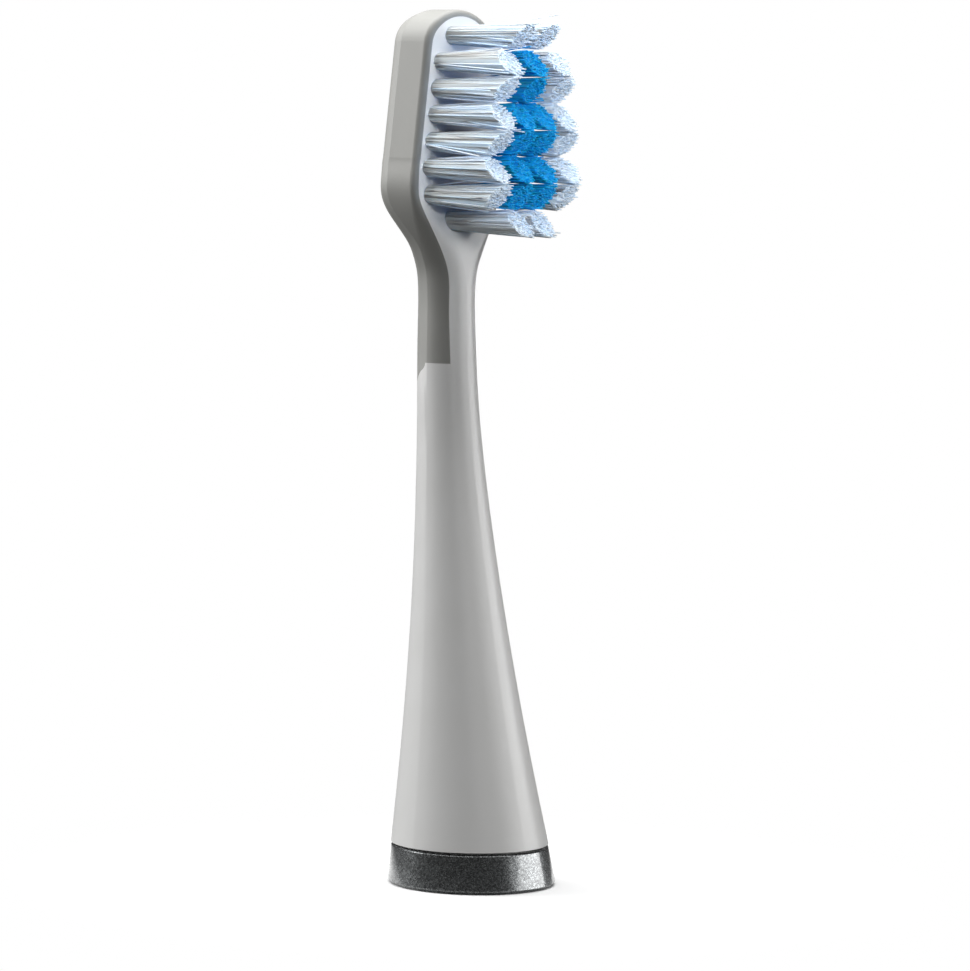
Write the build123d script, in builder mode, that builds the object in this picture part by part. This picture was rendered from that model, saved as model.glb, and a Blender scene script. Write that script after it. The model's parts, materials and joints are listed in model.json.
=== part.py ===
"""Push-on electric toothbrush head: moulded neck and bristle plate, soft back, colour ring and tufts.

Millimetres and degrees. The origin is the centre of the foot's underside, on the drive shaft's axis.
+Z runs up that axis, and the bristles point along -Y.
"""

import os
from math import cos, radians, sqrt, tan

from build123d import *

# Overall form
overall_height = 82.5
neck_lean = 5.85

# Foot: collar bore, skirt, snap and colour ring, from the inside out
collar_diameter = 10.4
collar_depth = 5.5
mouth_chamfer = 0.2
skirt_wall = 1.07
ring_clearance = 0.03
ring_wall = 1.15
ring_foot_width = 0.55
ring_height = 3.65
ring_bottom_chamfer = 0.35
ring_top_chamfer = 0.15
snap_height = 0.2
snap_width = 0.8
shadow_gap = 0.2
shadow_gap_depth = 0.65

# Flared neck
waist_diameter = 5.32
waist_above_soft_end = 4.8
flare_power = 1.75
bend_length = 21.6
neck_sections = 12
neck_flat_width = 0.16

# Head
head_width = 11.9
head_thickness = 5.58
side_taper = 6.55
flank_length = 10.2
shoulder_rise = 1.05
jog_depth = 1.56
jog_length = 5.4
jog_above_flank = 3.0
flank_sections = 10
head_start_rise = 1.7
tip_crown_height = 2.0
tip_corner_radius = 3.0
crease_depth = 2.0
back_draft = 16.0
flare_draft = 0.5
back_edge_radius = 1.6
neck_back_radius = 1.9

# Soft back
soft_thickness = 2.0
neck_soft_thickness = 1.3
soft_length = 33.3
rim_width = 0.63
rim_land = 0.08
strip_width = 3.44
tongue_width = 5.4
tongue_length = 3.2
fade_length = 3.0
tongue_margin = 0.2
seam_points = 14

# Drive socket and its clip
shaft_diameter = 3.5
shaft_clearance = 0.02
lead_in_chamfer = 0.3
guide_length = 7.0
flat_depth = 0.45
chamber_clearance = 0.05
socket_wall = 0.98
socket_end_wall = 1.16
socket_flange_width = 1.45
socket_flange_thickness = 1.2
socket_clearance = 0.02
key_width = 0.9
key_height = 0.45
clip_width = 2.0
clip_length = 2.8
clip_thickness = 0.25
clip_bow_height = 0.45
clip_clearance = 0.02

# Tufts
hole_floor_thickness = 0.98
hole_wall = 0.42
edge_wall = 0.5
tuft_clearance = 0.02
tuft_length = 10.2
tuft_tip_gap = 0.1
tuft_splay_width = 0.9
trim_angle = 43.0
row_pitch = 2.49
first_row_below_tip = 2.44
shoulder_above_row = 0.63
row_counts = [2, 3, 3, 4, 4, 4, 4, 2]
end_row_spacing = 2.4
mouth_clearance = 0.1

# Metal anchor plates
anchor_thickness = 0.2
anchor_height = 1.2
anchor_clearance = 0.01
fold_thickness = 0.35

# Foot diameters and the heights that hang from the tip
skirt_diameter = collar_diameter + 2 * skirt_wall
ring_bore_diameter = skirt_diameter + 2 * ring_clearance
foot_diameter = ring_bore_diameter + 2 * ring_wall
base_diameter = foot_diameter + 2 * ring_foot_width
foot_height = ring_height + shadow_gap
soft_end_height = overall_height - soft_length
neck_start = soft_end_height - tongue_length - tongue_margin
waist_height = soft_end_height + waist_above_soft_end
row_heights = [overall_height - first_row_below_tip - row * row_pitch for row in range(len(row_counts))]
shoulder_height = row_heights[-2] + shoulder_above_row
flank_end = shoulder_height + shoulder_rise
flank_start = flank_end - flank_length
jog_start = flank_start + jog_above_flank
head_start = flank_end + head_start_rise
bend_start = jog_start - bend_length
lean = tan(radians(neck_lean))
rim_radius = rim_width - rim_land
rim_inset = rim_width / cos(radians(side_taper))
reach = 2 * overall_height


def ease(height, start, length):
    """Share that rises smoothly from 0 at the start height to 1 a length above it."""
    share = min(max((height - start) / length, 0), 1)
    return share**2 * (3 - 2 * share)


def axis_y(height):
    """Place of the body's own axis: it leans with the neck, bends upright and jogs back into the head."""
    bent = min(max(height - bend_start, 0), bend_length)
    straight = lean * min(height, jog_start)
    return straight - lean * bent**2 / (2 * bend_length) + jog_depth * ease(height, jog_start, jog_length)


def flare_radius(height):
    """Radius of the round neck at a height above the floor."""
    share = max(waist_height - height, 0) / (waist_height - foot_height)
    return waist_diameter / 2 + (foot_diameter - waist_diameter) / 2 * share**flare_power


def taper_half_width(height):
    """Half the head's width on its tapered sides, above the shoulder."""
    return head_width / 2 - (height - shoulder_height) * tan(radians(side_taper))


def half_width(height):
    """Half the body's width, from the round neck over the flanks to the tapered sides."""
    neck = flare_radius(height)
    return neck + (taper_half_width(height) - neck) * ease(height, flank_start, flank_length)


def half_depth(height):
    """Half the body's depth, from the round neck to the head."""
    neck = flare_radius(height)
    return neck + (head_thickness / 2 - neck) * ease(height, jog_start, jog_length)


def seam_half_width(height):
    """Half the width of the white front: a strip up the neck that widens into the bristle plate."""
    plate = taper_half_width(height) - rim_inset
    return strip_width / 2 + (plate - strip_width / 2) * ease(height, flank_start, flank_length)


def core_back_y(height):
    """Back of the white body where the soft back lies over it, thinner on the neck than on the head."""
    gain = (soft_thickness - neck_soft_thickness) * ease(height, jog_start, jog_length)
    return axis_y(height) + half_depth(height) - neck_soft_thickness - gain


def body_section(height):
    """Section of the body at a height: round on the neck, with a crease down each side of the soft back."""
    settled = ease(height, jog_start, jog_length)
    creased = ease(height, soft_end_height - fade_length, fade_length)
    middle_y = axis_y(height)
    front_y = middle_y - half_depth(height)
    back_y = middle_y + half_depth(height)
    neck_corner = flare_radius(height) - neck_flat_width / 2
    neck_back = neck_corner + (neck_back_radius - neck_corner) * creased
    crease_y = middle_y + (back_y - crease_depth - middle_y) * settled
    draft = flare_draft + (back_draft - flare_draft) * creased
    side_x = half_width(height)
    back_x = side_x - (back_y - crease_y) * tan(radians(draft))
    with BuildSketch(Plane.XY.offset(height)) as section:
        with BuildLine():
            right_side = Polyline((side_x, front_y), (side_x, crease_y), (back_x, back_y))
            left_side = Polyline((-side_x, front_y), (-side_x, crease_y), (-back_x, back_y))
            Line(right_side @ 0, left_side @ 0)
            Line(right_side @ 1, left_side @ 1)
        make_face()
        front_corners = section.vertices().group_by(Axis.Y)[0]
        fillet(front_corners, neck_corner + (rim_radius - neck_corner) * settled)
        back_corners = section.vertices().group_by(Axis.Y)[-1]
        fillet(back_corners, neck_back + (back_edge_radius - neck_back) * settled)
    return section.sketch.face()


def head_outline(inset):
    """Front view of the head above its flanks, drawn in from its edge."""
    corner_height = overall_height - tip_crown_height - inset
    foot_x = taper_half_width(head_start) - inset / cos(radians(side_taper))
    corner_x = taper_half_width(corner_height) - inset / cos(radians(side_taper))
    with BuildSketch() as outline:
        with BuildLine():
            sides = Polyline(
                (corner_x, corner_height),
                (foot_x, head_start),
                (-foot_x, head_start),
                (-corner_x, corner_height),
            )
            ThreePointArc(sides @ 0, (0, overall_height - inset), sides @ 1)
        make_face()
        fillet(outline.vertices().group_by(Axis.Y)[-1], tip_corner_radius - inset)
    return outline.sketch


# Outer form of the head above its flanks, rounded along its front rim and its back
face_y = axis_y(head_start) - head_thickness / 2
with BuildPart() as head_form:
    with BuildSketch(Plane.XZ.offset(-face_y)):
        add(head_outline(0))
    extrude(amount=-head_thickness)
    fillet(head_form.faces().sort_by(Axis.Y)[0].edges().sort_by(Axis.Z)[1:], rim_radius)
    flat_back = head_form.faces().sort_by(Axis.Y)[-1]
    draw_in = crease_depth * tan(radians(back_draft))
    chamfer(flat_back.edges().sort_by(Axis.Z)[1:], length=draw_in, length2=crease_depth, reference=flat_back)
    fillet(head_form.faces().sort_by(Axis.Y)[-1].edges().sort_by(Axis.Z)[1:], back_edge_radius)

# Outer form from the foot to the tip, before it is parted into the white body and the soft back
neck_span = (flank_start - foot_height) / (neck_sections - 1)
flank_span = (head_start - flank_start) / flank_sections
section_heights = [foot_height + step * neck_span for step in range(neck_sections)]
section_heights += [flank_start + step * flank_span for step in range(1, flank_sections)]
with BuildPart() as body_form:
    add(head_form.part)
    loft([body_section(height) for height in section_heights] + [head_form.faces().sort_by(Axis.Z)[0]])

# Side view of all that lies in front of the soft back
seam_span = (head_start - neck_start) / (seam_points - 1)
seam_heights = [neck_start + step * seam_span for step in range(seam_points)]
with BuildSketch(Plane.YZ) as core_band:
    with BuildLine():
        rear = Spline(*[(core_back_y(height), height) for height in seam_heights])
        Polyline(
            rear @ 1,
            (core_back_y(overall_height), overall_height),
            (-reach, overall_height),
            (-reach, neck_start),
            rear @ 0,
        )
    make_face()

# Tongue of the soft back, let into the back of the neck below the soft end
with BuildPart() as tongue:
    with BuildSketch(Plane.XZ.offset(-axis_y(soft_end_height))):
        with Locations((0, soft_end_height)):
            Ellipse(tongue_width / 2, tongue_length)
    extrude(amount=-reach)

# Region that the white body keeps: bristle plate and front strip inside the rim, and all below the soft end
with BuildPart() as white_region:
    with BuildSketch(Plane.XZ):
        with BuildLine():
            seam = Spline(*[(seam_half_width(height), height) for height in seam_heights])
            mirror(seam, about=Plane.YZ)
            Line(seam @ 0, (-seam_half_width(neck_start), neck_start))
            Line(seam @ 1, (-seam_half_width(head_start), head_start))
        make_face()
        add(head_outline(rim_width))
    extrude(amount=reach, both=True)
    extrude(core_band.sketch, amount=reach, both=True, mode=Mode.INTERSECT)
    with Locations((0, 0, soft_end_height)):
        Box(reach, reach, soft_end_height, align=(Align.CENTER, Align.CENTER, Align.MAX))
    add(tongue.part, mode=Mode.SUBTRACT)

# Soft back: elastomer tray moulded over the back and sides of the head, with a rim round the plate
with BuildPart() as soft_back:
    add(body_form.part)
    add(white_region.part, mode=Mode.SUBTRACT)
soft_back.part.label = "soft_back"


def snap_profile(skirt_radius):
    """Half section of the snap bead round the skirt, or of its groove in the ring."""
    with BuildSketch(Plane.XZ) as bead:
        with BuildLine():
            Polyline(
                (skirt_radius - snap_height, ring_height / 2 - snap_width / 2),
                (skirt_radius, ring_height / 2 - snap_width / 2),
                (skirt_radius + snap_height, ring_height / 2),
                (skirt_radius, ring_height / 2 + snap_width / 2),
                (skirt_radius - snap_height, ring_height / 2 + snap_width / 2),
                close=True,
            )
        make_face()
    return bead.sketch


# Tuft field, counted from the tip: full rows reach to the plate's edge walls, and a pair stands at each end
tuft_hole_depth = head_thickness - soft_thickness - hole_floor_thickness
row_rooms = [2 * (seam_half_width(row_height - row_pitch / 4) - edge_wall) for row_height in row_heights]
full_rows = [(room, count) for room, count in zip(row_rooms, row_counts) if count > 2]
hole_rooms = [(room - hole_wall * (count - 1)) / count for room, count in full_rows]
tuft_hole_diameter = min(hole_rooms + [row_pitch - hole_wall, end_row_spacing - hole_wall])
rows = []
column_pitches = []
for row_height, room, count in zip(row_heights, row_rooms, row_counts):
    row_width = room - tuft_hole_diameter if count > 2 else end_row_spacing
    column_pitches.append(row_width / (count - 1))
    rows.append([(column * column_pitches[-1] - row_width / 2, row_height) for column in range(count)])
fan_ratio = tuft_splay_width / max(x for places in rows for x, height in places)
bristle_face = Plane(origin=(0, face_y, 0), x_dir=(1, 0, 0), z_dir=(0, -1, 0))

# White body: hollow foot, flared neck, front strip and bristle plate in one moulding
bore_radius = shaft_diameter / 2 + shaft_clearance
socket_diameter = 2 * bore_radius + 2 * socket_wall
socket_flange_diameter = socket_diameter + 2 * socket_flange_width
flange_top = collar_depth + socket_flange_thickness
flat_z = collar_depth + guide_length
pocket_top = flat_z + clip_length + 2 * clip_clearance
socket_top = pocket_top + socket_end_wall
with BuildPart() as neck_body:
    add(body_form.part)
    add(white_region.part, mode=Mode.INTERSECT)
    with BuildSketch(Plane.XY.offset(ring_height)):
        with Locations((0, lean * foot_height)):
            Circle(foot_diameter / 2 - shadow_gap_depth)
    extrude(amount=shadow_gap)
    with BuildSketch(Plane.XY):
        Circle(skirt_diameter / 2)
    extrude(amount=foot_height)
    revolve(snap_profile(skirt_diameter / 2), axis=Axis.Z)
    with BuildSketch(Plane.XY):
        Circle(collar_diameter / 2)
    extrude(amount=collar_depth, mode=Mode.SUBTRACT)
    chamfer(neck_body.edges().group_by(Axis.Z)[0].sort_by(SortBy.LENGTH)[0], mouth_chamfer)
    with BuildSketch(Plane.XY.offset(collar_depth)):
        Circle(socket_flange_diameter / 2 + socket_clearance)
    extrude(amount=socket_flange_thickness, mode=Mode.SUBTRACT)
    with BuildSketch(Plane.XY.offset(flange_top)):
        Circle(socket_diameter / 2 + socket_clearance)
        Rectangle(socket_diameter + 2 * key_height + 2 * socket_clearance, key_width + 2 * socket_clearance)
    extrude(amount=socket_top + socket_clearance - flange_top, mode=Mode.SUBTRACT)
    for places in rows:
        with Locations(bristle_face):
            with Locations(*places):
                Hole(tuft_hole_diameter / 2, depth=tuft_hole_depth)
                Cylinder(
                    tuft_hole_diameter / 2 + mouth_clearance,
                    jog_depth,
                    align=(Align.CENTER, Align.CENTER, Align.MIN),
                    mode=Mode.SUBTRACT,
                )
neck_body.part.label = "neck_body"

# Colour ring snapped over the skirt
with BuildPart() as base_ring:
    with BuildSketch(Plane.XY):
        Circle(base_diameter / 2)
    with BuildSketch(Plane.XY.offset(ring_height)):
        with Locations((0, lean * ring_height)):
            Circle(foot_diameter / 2)
    loft()
    chamfer(base_ring.edges().group_by(Axis.Z)[0], ring_bottom_chamfer)
    chamfer(base_ring.edges().group_by(Axis.Z)[-1], ring_top_chamfer)
    with BuildSketch(Plane.XY):
        Circle(ring_bore_diameter / 2)
    extrude(amount=ring_height, mode=Mode.SUBTRACT)
    revolve(snap_profile(ring_bore_diameter / 2), axis=Axis.Z, mode=Mode.SUBTRACT)
base_ring.part.label = "base_ring"

# Drive socket: flanged insert with a round guide bore, then a chamber whose flat drives the shaft
chamber_width = shaft_diameter + 2 * chamber_clearance
chamber_flat_y = flat_depth - bore_radius
chamber_back_y = sqrt(bore_radius**2 - (clip_width / 2) ** 2)
pocket_y = bore_radius + clip_thickness + clip_bow_height / 2
with BuildPart() as drive_socket:
    with BuildSketch(Plane.XY.offset(collar_depth)):
        Circle(socket_flange_diameter / 2)
    extrude(amount=socket_flange_thickness)
    with BuildSketch(Plane.XY.offset(flange_top)):
        Circle(socket_diameter / 2)
        Rectangle(socket_diameter + 2 * key_height, key_width)
    extrude(amount=socket_top - flange_top)
    with BuildSketch(Plane.XY.offset(collar_depth)):
        Circle(bore_radius)
    extrude(amount=guide_length, mode=Mode.SUBTRACT)
    chamfer(drive_socket.edges().group_by(Axis.Z)[0].sort_by(SortBy.LENGTH)[0], lead_in_chamfer)
    with BuildSketch(Plane.XY.offset(flat_z)):
        with Locations((0, chamber_flat_y)):
            Rectangle(chamber_width, chamber_back_y - chamber_flat_y, align=(Align.CENTER, Align.MIN))
    extrude(amount=pocket_top - flat_z, mode=Mode.SUBTRACT)
    with Locations((0, 0, flat_z)):
        Box(
            clip_width + 2 * clip_clearance,
            pocket_y,
            pocket_top - flat_z,
            align=(Align.CENTER, Align.MIN, Align.MIN),
            mode=Mode.SUBTRACT,
        )
drive_socket.part.label = "drive_socket"

# Spring leaf that bows into the bore and holds the shaft
clip_y = pocket_y - clip_clearance
clip_bottom = flat_z + clip_clearance
clip_top = pocket_top - clip_clearance
clip_middle = (clip_bottom + clip_top) / 2
with BuildPart() as shaft_clip:
    with BuildSketch(Plane.YZ):
        with BuildLine():
            outer = ThreePointArc(
                (clip_y, clip_bottom),
                (clip_y - clip_bow_height, clip_middle),
                (clip_y, clip_top),
            )
            inner = ThreePointArc(
                (clip_y - clip_thickness, clip_bottom),
                (clip_y - clip_thickness - clip_bow_height, clip_middle),
                (clip_y - clip_thickness, clip_top),
            )
            Line(outer @ 0, inner @ 0)
            Line(outer @ 1, inner @ 1)
        make_face()
    extrude(amount=clip_width / 2, both=True)
shaft_clip.part.label = "shaft_clip"

# Tufts: each folded round its anchor, set in its hole and trimmed on a slant that turns with each row
tuft_radius = tuft_hole_diameter / 2 - tuft_clearance
anchor_width = 2 * sqrt((tuft_hole_diameter / 2) ** 2 - (anchor_thickness / 2) ** 2) - 2 * anchor_clearance
anchor_middle = fold_thickness + anchor_height / 2 - tuft_hole_depth
tuft_tip_diameter = min(row_pitch, min(column_pitches) * (1 + fan_ratio)) - tuft_tip_gap
trim_slope = tan(radians(trim_angle))
trim_stretch = 1 / cos(radians(trim_angle))


def make_tuft(x, height, trim_turn):
    """One tuft on the bristle face, longer on its lower side at a trim_turn of 1, or on its upper at -1."""
    place = Plane(origin=(x, face_y, height), x_dir=bristle_face.x_dir, z_dir=bristle_face.z_dir)
    tip_origin = place.from_local_coords((x * fan_ratio, 0, tuft_length))
    tip = Plane(origin=tip_origin, x_dir=bristle_face.x_dir, z_dir=(0, -1, trim_turn * trim_slope))
    with BuildPart(place) as tuft:
        with BuildSketch(place):
            Circle(tuft_radius)
        with BuildSketch(tip):
            Ellipse(tuft_tip_diameter / 2, tuft_tip_diameter / 2 * trim_stretch)
        loft(ruled=True)
        with BuildSketch(place):
            Circle(tuft_radius)
        extrude(amount=-tuft_hole_depth)
        with Locations((0, 0, anchor_middle)):
            Box(tuft_hole_diameter, anchor_thickness, anchor_height, mode=Mode.SUBTRACT)
    return tuft.part


tufts = []
for row, places in enumerate(rows):
    for column, (x, height) in enumerate(places):
        tuft_piece = make_tuft(x, height, 1 if row % 2 else -1)
        tuft_piece.label = f"tuft_{row + 1}_{column + 1}"
        tufts.append(tuft_piece)

# Anchor plates, one wedged across the foot of each hole
with BuildPart() as tuft_anchors:
    for places in rows:
        with Locations(bristle_face):
            with Locations(*[(x, height, anchor_middle) for x, height in places]):
                Box(anchor_width, anchor_thickness, anchor_height)
tuft_anchors.part.label = "tuft_anchors"

os.makedirs("parts", exist_ok=True)
for piece in [neck_body, soft_back, base_ring, drive_socket, shaft_clip, tuft_anchors]:
    export_step(piece.part, f"parts/{piece.part.label}.step")
for tuft_piece in tufts:
    export_step(tuft_piece, f"parts/{tuft_piece.label}.step")
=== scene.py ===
import json
import math
import random

import bpy
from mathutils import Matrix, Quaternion, Vector


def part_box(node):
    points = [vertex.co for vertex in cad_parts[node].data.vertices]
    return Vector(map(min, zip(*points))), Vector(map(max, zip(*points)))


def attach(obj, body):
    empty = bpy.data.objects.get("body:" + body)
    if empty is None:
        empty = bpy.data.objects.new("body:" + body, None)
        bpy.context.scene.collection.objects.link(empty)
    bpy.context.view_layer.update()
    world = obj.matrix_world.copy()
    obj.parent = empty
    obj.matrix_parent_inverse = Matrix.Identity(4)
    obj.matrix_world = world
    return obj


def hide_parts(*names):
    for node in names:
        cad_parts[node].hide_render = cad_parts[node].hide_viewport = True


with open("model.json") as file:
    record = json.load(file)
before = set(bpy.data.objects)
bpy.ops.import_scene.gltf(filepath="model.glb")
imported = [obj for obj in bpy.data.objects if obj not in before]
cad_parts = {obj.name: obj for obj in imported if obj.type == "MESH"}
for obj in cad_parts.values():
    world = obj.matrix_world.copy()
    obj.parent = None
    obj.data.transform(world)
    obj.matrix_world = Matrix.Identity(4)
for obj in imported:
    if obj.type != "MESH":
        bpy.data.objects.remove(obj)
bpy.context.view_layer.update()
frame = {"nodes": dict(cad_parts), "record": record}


# White body: hollow foot, flared neck, front strip and bristle plate in one shot of polypropylene.
# It comes out of a polished mould, so it is smooth and half glossy, with a trace of flow in the skin.
# The real skin's grain is finer, and is drawn as coarse as it needs to show.
mm = 0.001
flow_mark_size = 6.0 * mm
skin_grain_size = 0.35 * mm
skin_grain_height = 0.004 * mm
skin_grain_strength = 0.25
noise_low = 0.15
noise_high = 0.85


def linear(code):
    """An sRGB hex colour as the linear RGBA that a shader socket takes."""
    parts = [int(code[place:place + 2], 16) / 255 for place in (1, 3, 5)]
    return [part / 12.92 if part <= 0.04045 else ((part + 0.055) / 1.055) ** 2.4 for part in parts] + [1.0]


def add_node(material, kind, inputs, **settings):
    """One node in a material or the world: its settings, and a value or a feeding socket for each input."""
    node = material.node_tree.nodes.new(kind)
    for name, value in settings.items():
        setattr(node, name, value)
    for name, value in inputs.items():
        if isinstance(value, bpy.types.NodeSocket):
            material.node_tree.links.new(value, node.inputs[name])
        else:
            node.inputs[name].default_value = value
    return node


def new_material(name):
    """A new material and its shader, ready to be fed."""
    material = bpy.data.materials.new(name)
    material.use_nodes = True
    return material, material.node_tree.nodes["Principled BSDF"]


def feed(material, shader, **sockets):
    """Sets or links a shader's own sockets, named with underscores for spaces."""
    for name, value in sockets.items():
        socket = shader.inputs[name.replace("_", " ")]
        if isinstance(value, bpy.types.NodeSocket):
            material.node_tree.links.new(value, socket)
        else:
            socket.default_value = value


def dress(node_name, material):
    """Gives a CAD node its finish."""
    for slot in frame["nodes"][node_name].material_slots:
        slot.material = material


polypropylene, shader = new_material("moulded_polypropylene")
place = add_node(polypropylene, "ShaderNodeTexCoord", {})
flow = add_node(
    polypropylene, "ShaderNodeTexNoise",
    {"Vector": place.outputs["Object"], "Scale": 1 / flow_mark_size, "Detail": 3.0},
)
tint = add_node(polypropylene, "ShaderNodeValToRGB", {"Fac": flow.outputs["Fac"]})
tint.color_ramp.elements[0].position = noise_low
tint.color_ramp.elements[0].color = linear("#ededeb")
tint.color_ramp.elements[1].position = noise_high
tint.color_ramp.elements[1].color = linear("#f1f1f0")
gloss = add_node(
    polypropylene, "ShaderNodeMapRange",
    {"Value": flow.outputs["Fac"], "From Min": noise_low, "From Max": noise_high,
     "To Min": 0.27, "To Max": 0.34},
)
grain = add_node(
    polypropylene, "ShaderNodeTexNoise",
    {"Vector": place.outputs["Object"], "Scale": 1 / skin_grain_size, "Detail": 2.0},
)
skin = add_node(
    polypropylene, "ShaderNodeBump",
    {"Height": grain.outputs["Fac"], "Strength": skin_grain_strength, "Distance": skin_grain_height},
)
feed(
    polypropylene, shader,
    Base_Color=tint.outputs["Color"], Roughness=gloss.outputs["Result"],
    Normal=skin.outputs["Normal"], IOR=1.49,
)
dress("neck_body", polypropylene)


# Soft back: grey thermoplastic elastomer, moulded over the back and sides of the head and upper neck.
# The mould is finely eroded there, so the skin is satin with a close matt grain.
elastomer_grain_size = 0.22 * mm
elastomer_grain_height = 0.01 * mm
elastomer_grain_strength = 0.3
elastomer_cloud_size = 4.0 * mm

elastomer, shader = new_material("overmoulded_elastomer")
place = add_node(elastomer, "ShaderNodeTexCoord", {})
cloud = add_node(
    elastomer, "ShaderNodeTexNoise",
    {"Vector": place.outputs["Object"], "Scale": 1 / elastomer_cloud_size, "Detail": 4.0},
)
tint = add_node(elastomer, "ShaderNodeValToRGB", {"Fac": cloud.outputs["Fac"]})
tint.color_ramp.elements[0].position = noise_low
tint.color_ramp.elements[0].color = linear("#a3a39f")
tint.color_ramp.elements[1].position = noise_high
tint.color_ramp.elements[1].color = linear("#ababa7")
gloss = add_node(
    elastomer, "ShaderNodeMapRange",
    {"Value": cloud.outputs["Fac"], "From Min": noise_low, "From Max": noise_high,
     "To Min": 0.44, "To Max": 0.52},
)
grain = add_node(
    elastomer, "ShaderNodeTexNoise",
    {"Vector": place.outputs["Object"], "Scale": 1 / elastomer_grain_size, "Detail": 2.0},
)
skin = add_node(
    elastomer, "ShaderNodeBump",
    {"Height": grain.outputs["Fac"], "Strength": elastomer_grain_strength,
     "Distance": elastomer_grain_height},
)
feed(
    elastomer, shader,
    Base_Color=tint.outputs["Color"], Roughness=gloss.outputs["Result"],
    Normal=skin.outputs["Normal"], IOR=1.5,
)
dress("soft_back", elastomer)


# Colour ring: a plastic ring snapped over the skirt of the foot, sprayed with a gunmetal lacquer.
# The lacquer holds aluminium flakes that lie nearly flat, so single flakes flash as the light moves.
# Real flakes are finer, and are drawn as coarse as they need to show.
flake_size = 0.11 * mm
flake_tilt_height = 0.012 * mm
flake_tilt_strength = 0.18
dark_flake_share = 0.35

lacquer, shader = new_material("metallic_flake_lacquer")
place = add_node(lacquer, "ShaderNodeTexCoord", {})
flakes = add_node(
    lacquer, "ShaderNodeTexVoronoi",
    {"Vector": place.outputs["Object"], "Scale": 1 / flake_size, "Randomness": 1.0},
    feature="F1",
)
lot = add_node(lacquer, "ShaderNodeSeparateColor", {"Color": flakes.outputs["Color"]})
tint = add_node(lacquer, "ShaderNodeValToRGB", {"Fac": lot.outputs["Red"]})
tint.color_ramp.elements[0].position = dark_flake_share
tint.color_ramp.elements[0].color = linear("#5e6061")
tint.color_ramp.elements[1].position = 1.0
tint.color_ramp.elements[1].color = linear("#949798")
gloss = add_node(
    lacquer, "ShaderNodeMapRange", {"Value": lot.outputs["Green"], "To Min": 0.23, "To Max": 0.34},
)
skin = add_node(
    lacquer, "ShaderNodeBump",
    {"Height": lot.outputs["Blue"], "Strength": flake_tilt_strength, "Distance": flake_tilt_height},
)
feed(
    lacquer, shader,
    Base_Color=tint.outputs["Color"], Metallic=0.9, Roughness=gloss.outputs["Result"],
    Normal=skin.outputs["Normal"], Coat_Weight=0.8, Coat_Roughness=0.06,
)
dress("base_ring", lacquer)


# Drive socket: a moulded acetal insert pressed up into the foot, keyed against turning.
# Acetal is waxy and matt, slightly warmer than the body round it.
acetal_grain_size = 0.3 * mm

acetal, shader = new_material("acetal")
place = add_node(acetal, "ShaderNodeTexCoord", {})
wax = add_node(
    acetal, "ShaderNodeTexNoise",
    {"Vector": place.outputs["Object"], "Scale": 1 / acetal_grain_size, "Detail": 3.0},
)
gloss = add_node(acetal, "ShaderNodeMapRange", {"Value": wax.outputs["Fac"], "To Min": 0.4, "To Max": 0.55})
feed(acetal, shader, Base_Color=linear("#dcdad2"), Roughness=gloss.outputs["Result"], IOR=1.48)
dress("drive_socket", acetal)


# Shaft clip: a leaf of rolled spring steel that bows into the socket and holds the drive shaft.
# Rolling leaves fine lines along the strip.
rolling_line_width = 0.05 * mm
rolling_line_length = 2.5 * mm

spring_steel, shader = new_material("rolled_spring_steel")
place = add_node(spring_steel, "ShaderNodeTexCoord", {})
stretch = add_node(
    spring_steel, "ShaderNodeMapping",
    {"Vector": place.outputs["Object"],
     "Scale": (1 / rolling_line_width, 1 / rolling_line_width, 1 / rolling_line_length)},
)
lines = add_node(spring_steel, "ShaderNodeTexNoise", {"Vector": stretch.outputs["Vector"], "Scale": 1.0})
gloss = add_node(
    spring_steel, "ShaderNodeMapRange", {"Value": lines.outputs["Fac"], "To Min": 0.22, "To Max": 0.4},
)
feed(spring_steel, shader, Base_Color=linear("#b4b5b6"), Metallic=1.0, Roughness=gloss.outputs["Result"])
dress("shaft_clip", spring_steel)


# Tuft anchors: small plates cut from brass strip, driven across the foot of each hole over the folded tuft.
# They are deep in the holes, with the dull skin of drawn strip.
brass_cloud_size = 0.4 * mm

brass, shader = new_material("drawn_brass_strip")
place = add_node(brass, "ShaderNodeTexCoord", {})
cloud = add_node(
    brass, "ShaderNodeTexNoise", {"Vector": place.outputs["Object"], "Scale": 1 / brass_cloud_size},
)
gloss = add_node(brass, "ShaderNodeMapRange", {"Value": cloud.outputs["Fac"], "To Min": 0.3, "To Max": 0.5})
feed(brass, shader, Base_Color=linear("#c9ad6b"), Metallic=1.0, Roughness=gloss.outputs["Result"])
dress("tuft_anchors", brass)


# Filament: extruded nylon, cut to length and rounded at its free end.
# One is modelled here as a rod of unit length and radius, and every tuft is bundled from copies of it.
filament_sides = 6
filament_cuts = 3
round_inset = 0.35
round_height = 0.008

bpy.ops.object.select_all(action="DESELECT")
bpy.ops.mesh.primitive_cylinder_add(
    vertices=filament_sides, radius=1.0, depth=1 - round_height, location=(0, 0, (1 - round_height) / 2),
)
filament = bpy.context.object
bpy.ops.object.transform_apply(location=True)
bpy.ops.object.mode_set(mode="EDIT")
bpy.ops.mesh.select_mode(type="EDGE")
bpy.ops.mesh.select_all(action="DESELECT")
bpy.ops.object.mode_set(mode="OBJECT")
for edge in filament.data.edges:
    low, high = (filament.data.vertices[index].co.z for index in edge.vertices)
    edge.select = abs(high - low) > 0.5
bpy.ops.object.mode_set(mode="EDIT")
bpy.ops.mesh.subdivide(number_cuts=filament_cuts)
bpy.ops.mesh.select_mode(type="FACE")
bpy.ops.mesh.select_all(action="DESELECT")
bpy.ops.object.mode_set(mode="OBJECT")
for face in filament.data.polygons:
    face.select = face.normal.z > 0.9
bpy.ops.object.mode_set(mode="EDIT")
bpy.ops.mesh.inset(thickness=round_inset)
bpy.ops.transform.translate(value=(0, 0, round_height))
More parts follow.
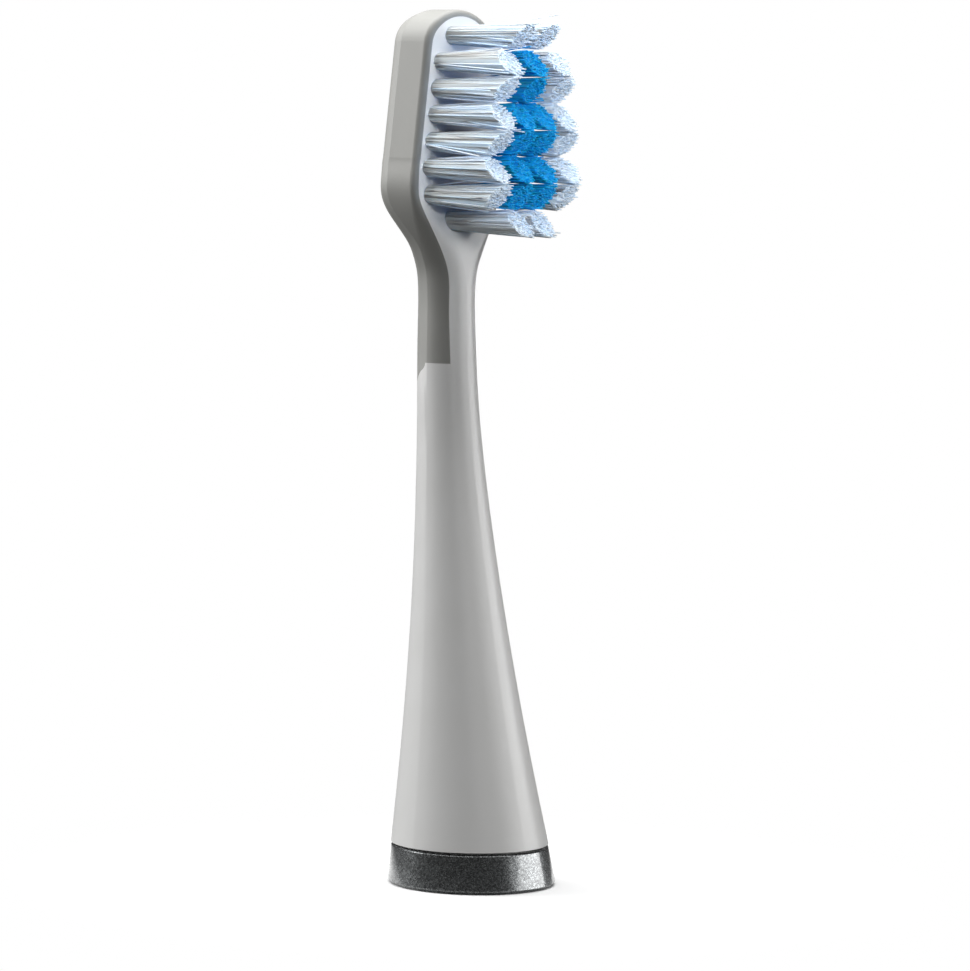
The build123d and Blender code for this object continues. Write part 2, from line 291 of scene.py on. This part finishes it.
bpy.ops.object.mode_set(mode="OBJECT")
rod_points = [vertex.co.copy() for vertex in filament.data.vertices]
rod_faces = [tuple(face.vertices) for face in filament.data.polygons]
bpy.data.objects.remove(filament)


# White and blue nylon: filament with pigment in it, drawn smooth through a die.
# The blue tint of the white nylon is painted light: it stands for blue light passed on from the blue tufts
# beside it.
# Light runs in and comes out softened, so a bundle looks satin. Each filament has its own depth of colour.
scatter_length = 0.5 * mm


def nylon(name, deep, pale, scatter):
    """Filament nylon, from its deep to its pale colour by each filament's own lot."""
    material, shader = new_material(name)
    lot = add_node(material, "ShaderNodeAttribute", {}, attribute_name="lot")
    tint = add_node(material, "ShaderNodeValToRGB", {"Fac": lot.outputs["Fac"]})
    tint.color_ramp.elements[0].color = linear(deep)
    tint.color_ramp.elements[1].color = linear(pale)
    feed(
        material, shader,
        Base_Color=tint.outputs["Color"], Roughness=0.5, IOR=1.53, Specular_IOR_Level=0.3,
        Subsurface_Weight=1.0, Subsurface_Radius=scatter, Subsurface_Scale=scatter_length,
    )
    return material


# Painted light: the white nylon's bluish colours stand for blue light passed on from the blue tufts.
white_nylon = nylon("white_filament_nylon_painted_blue_bleed", "#aecbec", "#d8e8fa", (0.9, 1.0, 1.1))
blue_nylon = nylon("blue_filament_nylon", "#007cc8", "#1490da", (0.4, 0.9, 1.2))


# Tufts: each bundle is folded round its anchor, set in its hole and trimmed on a slant with its row.
# The bundle is tight at the plate and opens towards the tips, where single filaments stand off.
# The filaments that lie too deep to be told apart are one core, which stops short of the trimmed tips.
filament_radius = 0.058 * mm
filaments_per_tuft = 150
hole_depth = 2.6 * mm
tucked_length = 0.8 * mm
trim_unevenness = 0.25 * mm
tip_wander = 0.07 * mm
tip_opening = 1.1
sideways_bow = 0.04 * mm
stray_share = 0.07
stray_wander = 0.5 * mm
core_share = 0.96
core_sides = 20
core_recess = 0.45 * mm
core_lot = 0.5
turn_scatter = 0.2
smooth_angle = math.radians(70)
foot_tolerance = 0.01 * mm
middle_half_width = 0.2 * mm
golden_turn = math.pi * (3 - math.sqrt(5))
tuft_seed = 11


def measure_tuft(node_name):
    """Where a tuft leaves its hole and where it is trimmed, with its radii and slant, from its solid."""
    points = [vertex.co for vertex in frame["nodes"][node_name].data.vertices]
    low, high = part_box(node_name)
    floor_ring = [point for point in points if point.y > high.y - foot_tolerance]
    root_x = sum(point.x for point in floor_ring) / len(floor_ring)
    root_radius = max(abs(point.x - root_x) for point in floor_ring)
    tip_radius = (high.z - low.z) / 2
    tip_x = root_x
    if root_x > middle_half_width:
        tip_x = high.x - tip_radius
    if root_x < -middle_half_width:
        tip_x = low.x + tip_radius
    top_y = max(points, key=lambda point: point.z).y
    bottom_y = min(points, key=lambda point: point.z).y
    root = Vector((root_x, high.y - hole_depth + tucked_length, (low.z + high.z) / 2))
    tip = Vector((tip_x, (top_y + bottom_y) / 2, root.z))
    return root, root_radius, tip, tip_radius, (top_y - bottom_y) / 2 / tip_radius


def lay_core(root, root_radius, tip, tip_radius, slant):
    """Corners and faces of a core: a tapered prism that stops short of the trim."""
    points = []
    for along in (0, 1):
        for step in range(core_sides):
            turn = 2 * math.pi * step / core_sides
            side = Vector((math.cos(turn), 0, math.sin(turn))) * core_share
            end = tip + side * tip_radius + Vector((0, side.z * tip_radius * slant + core_recess, 0))
            points.append((root + side * root_radius).lerp(end, along))
    faces = [tuple(range(core_sides)), tuple(range(core_sides, 2 * core_sides))]
    for step in range(core_sides):
        after = (step + 1) % core_sides
        faces.append((step, after, core_sides + after, core_sides + step))
    return points, faces


def lay_filament(index, root, root_radius, tip, tip_radius, slant, draw):
    """Corners of one filament: the rod laid from its place in the hole to its own trimmed tip."""
    share = math.sqrt((index + 0.5) / filaments_per_tuft)
    turn = index * golden_turn + draw.uniform(-turn_scatter, turn_scatter)
    side = Vector((math.cos(turn), 0, math.sin(turn))) * share
    start = root + side * (root_radius - filament_radius)
    wander = stray_wander if draw.random() < stray_share else tip_wander
    reach = side * (tip_radius * tip_opening - filament_radius)
    reach += Vector((draw.gauss(0, wander), 0, draw.gauss(0, wander)))
    rise = max(-tip_radius, min(tip_radius, reach.z)) * slant
    end = tip + reach + Vector((0, rise + abs(draw.gauss(0, trim_unevenness)), 0))
    bow = Vector((draw.gauss(0, sideways_bow), 0, draw.gauss(0, sideways_bow)))
    points = []
    for rod_point in rod_points:
        centre = start.lerp(end, rod_point.z) + bow * math.sin(math.pi * rod_point.z)
        points.append(centre + Vector((rod_point.x, 0, rod_point.y)) * filament_radius)
    return points


def make_tuft(node_name, material, draw):
    """One tuft: its core, and a copy of the rod for each filament, in place of its solid."""
    measures = measure_tuft(node_name)
    points, faces = lay_core(*measures)
    lots = [core_lot] * len(points)
    for index in range(filaments_per_tuft):
        first = len(points)
        points += lay_filament(index, *measures, draw)
        lots += [draw.random()] * len(rod_points)
        faces += [tuple(first + corner for corner in face) for face in rod_faces]
    mesh = bpy.data.meshes.new(node_name + "_bundle")
    mesh.from_pydata(points, [], faces)
    mesh.attributes.new("lot", "FLOAT", "POINT").data.foreach_set("value", lots)
    mesh.materials.append(material)
    bundle = bpy.data.objects.new(node_name + "_bundle", mesh)
    bpy.context.scene.collection.objects.link(bundle)
    bpy.ops.object.select_all(action="DESELECT")
    bundle.select_set(True)
    bpy.context.view_layer.objects.active = bundle
    bpy.ops.object.mode_set(mode="EDIT")
    bpy.ops.mesh.select_all(action="SELECT")
    bpy.ops.mesh.normals_make_consistent(inside=False)
    bpy.ops.object.mode_set(mode="OBJECT")
    bpy.ops.object.shade_smooth_by_angle(angle=smooth_angle)
    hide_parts(node_name)
    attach(bundle, "root")
    tuft_group.objects.link(bundle)


draw = random.Random(tuft_seed)
tuft_group = bpy.data.collections.new("tufts")
slots = {row["node"]: row["material_slot"] for row in frame["record"]["subparts"]}
tuft_materials = {"white_nylon": white_nylon, "blue_nylon": blue_nylon}
for node_name in sorted(frame["nodes"]):
    if slots[node_name] in tuft_materials:
        make_tuft(node_name, tuft_materials[slots[node_name]], draw)


# Floor: a plain pale studio table that fades into the white ground round it.
# It takes the shadow of the foot, and throws no light back onto the body.
floor_sides = 96
floor_radius = 0.05
floor_opaque_radius = 0.012
floor_clear_radius = 0.9 * floor_radius

bpy.ops.object.select_all(action="DESELECT")
bpy.ops.mesh.primitive_circle_add(vertices=floor_sides, radius=floor_radius, fill_type="NGON")
floor = bpy.context.object
floor.name = "studio_table"
table_top, shader = new_material("pale_table")
place = add_node(table_top, "ShaderNodeTexCoord", {})
distance = add_node(table_top, "ShaderNodeVectorMath", {0: place.outputs["Object"]}, operation="LENGTH")
fade = add_node(
    table_top, "ShaderNodeMapRange",
    {"Value": distance.outputs["Value"], "From Min": floor_opaque_radius, "From Max": floor_clear_radius,
     "To Min": 1.0, "To Max": 0.0},
    interpolation_type="SMOOTHSTEP",
)
feed(table_top, shader, Base_Color=linear("#ececec"), Roughness=0.7, Alpha=fade.outputs["Result"])
floor.data.materials.append(table_top)
floor.visible_diffuse = False


# Studio light: softboxes on the left, the right and overhead, and a gridded fill beside the camera.
# A low card shows in the ring as its reflection alone. One lamp lights only the tufts, and one only the
# white body, at the bristle plate. The ground is white to the camera and gives little light.
camera_azimuth = math.radians(-45.0)
toward_camera = Vector((math.sin(camera_azimuth), -math.cos(camera_azimuth), 0))
camera_right = Vector((math.cos(camera_azimuth), math.sin(camera_azimuth), 0))
foot_middle = Vector((0, 0, 0))
ring_middle = Vector((0, 0, 0.002))
neck_middle = Vector((0, 0, 0.06))
tufts_middle = Vector((0, -0.003, 0.078))
open_front = math.pi
wide_grid = math.radians(40)
narrow_grid = math.radians(12)
ground_light = 0.07


def softbox(name, place, target, width, height, radiance, spread):
    """A rectangular lamp that faces a point, with its radiance straight ahead and the angle it lights."""
    light = bpy.data.lights.new(name, "AREA")
    light.shape = "RECTANGLE"
    light.size = width
    light.size_y = height
    light.spread = spread
    passed_share = 1 - spread / 2 / math.tan(spread / 2)
    light.energy = radiance * math.pi * width * height * passed_share
    lamp = bpy.data.objects.new(name, light)
    lamp.location = place
    lamp.rotation_euler = (target - place).to_track_quat("-Z", "Y").to_euler()
    lamp.visible_camera = False
    bpy.context.scene.collection.objects.link(lamp)
    return lamp


left_place = Vector((0, 0, 0.2)) - camera_right * 0.28 - toward_camera * 0.09
softbox("left_softbox", left_place, neck_middle, width=0.22, height=0.3, radiance=5.4, spread=open_front)

right_place = Vector((0, 0, 0.17)) + camera_right * 0.24 - toward_camera * 0.06
softbox("right_softbox", right_place, tufts_middle, width=0.16, height=0.2, radiance=6.0, spread=wide_grid)

top_place = Vector((0, 0, 0.42)) - toward_camera * 0.05
softbox("top_softbox", top_place, foot_middle, width=0.4, height=0.4, radiance=5.4, spread=open_front)

card_place = Vector((0, 0, 0.05)) + camera_right * 0.29
ring_card = softbox(
    "ring_card", card_place, ring_middle, width=0.34, height=0.05, radiance=4.8, spread=open_front,
)
ring_card.visible_diffuse = False

fill_place = Vector((0, 0, 0.14)) + toward_camera * 0.23 + camera_right * 0.1
front_fill = softbox(
    "front_fill", fill_place, neck_middle, width=0.1, height=0.1, radiance=6.2, spread=wide_grid,
)
front_fill.visible_glossy = False

bristle_place = Vector((0, 0, 0.11)) + camera_right * 0.1 + toward_camera * 0.22
bristle_lamp = softbox(
    "bristle_lamp", bristle_place, tufts_middle, width=0.16, height=0.16, radiance=10.5, spread=open_front,
)
bristle_lamp.light_linking.receiver_collection = tuft_group

plate_group = bpy.data.collections.new("plate")
plate_group.objects.link(frame["nodes"]["neck_body"])
plate_place = Vector((0, 0, 0.1)) + camera_right * 0.1 + toward_camera * 0.2
plate_lamp = softbox(
    "plate_lamp", plate_place, tufts_middle, width=0.03, height=0.03, radiance=105.0, spread=narrow_grid,
)
plate_lamp.light_linking.receiver_collection = plate_group

ground = bpy.data.worlds.new("white_ground")
ground.use_nodes = True
path = add_node(ground, "ShaderNodeLightPath", {})
strength = add_node(
    ground, "ShaderNodeMapRange",
    {"Value": path.outputs["Is Camera Ray"], "To Min": ground_light, "To Max": 1.0},
)
shown = ground.node_tree.nodes["Background"]
feed(ground, shown, Color=(1, 1, 1, 1), Strength=strength.outputs["Result"])
bpy.context.scene.world = ground
bpy.context.scene.view_settings.view_transform = "Standard"


# Camera: a long lens near the height of the bristles, halfway between their tips and their side.
# It looks a little down and is turned a shade off level, as the photograph was taken.
camera_distance = 0.474
camera_height = 0.075
lens_length = 186.8
aim_height = 0.0378
aim_right = 0.00047
camera_roll = math.radians(1.2)

eye = bpy.data.cameras.new("product_camera")
eye.lens = lens_length
eye.sensor_width = 36.0
eye.clip_start = 0.01
camera = bpy.data.objects.new("product_camera", eye)
camera.location = toward_camera * camera_distance + Vector((0, 0, camera_height))
aim = camera_right * aim_right + Vector((0, 0, aim_height))
facing = (aim - camera.location).to_track_quat("-Z", "Y")
camera.rotation_euler = (facing @ Quaternion((0, 0, 1), camera_roll)).to_euler()
bpy.context.scene.collection.objects.link(camera)
bpy.context.scene.camera = camera
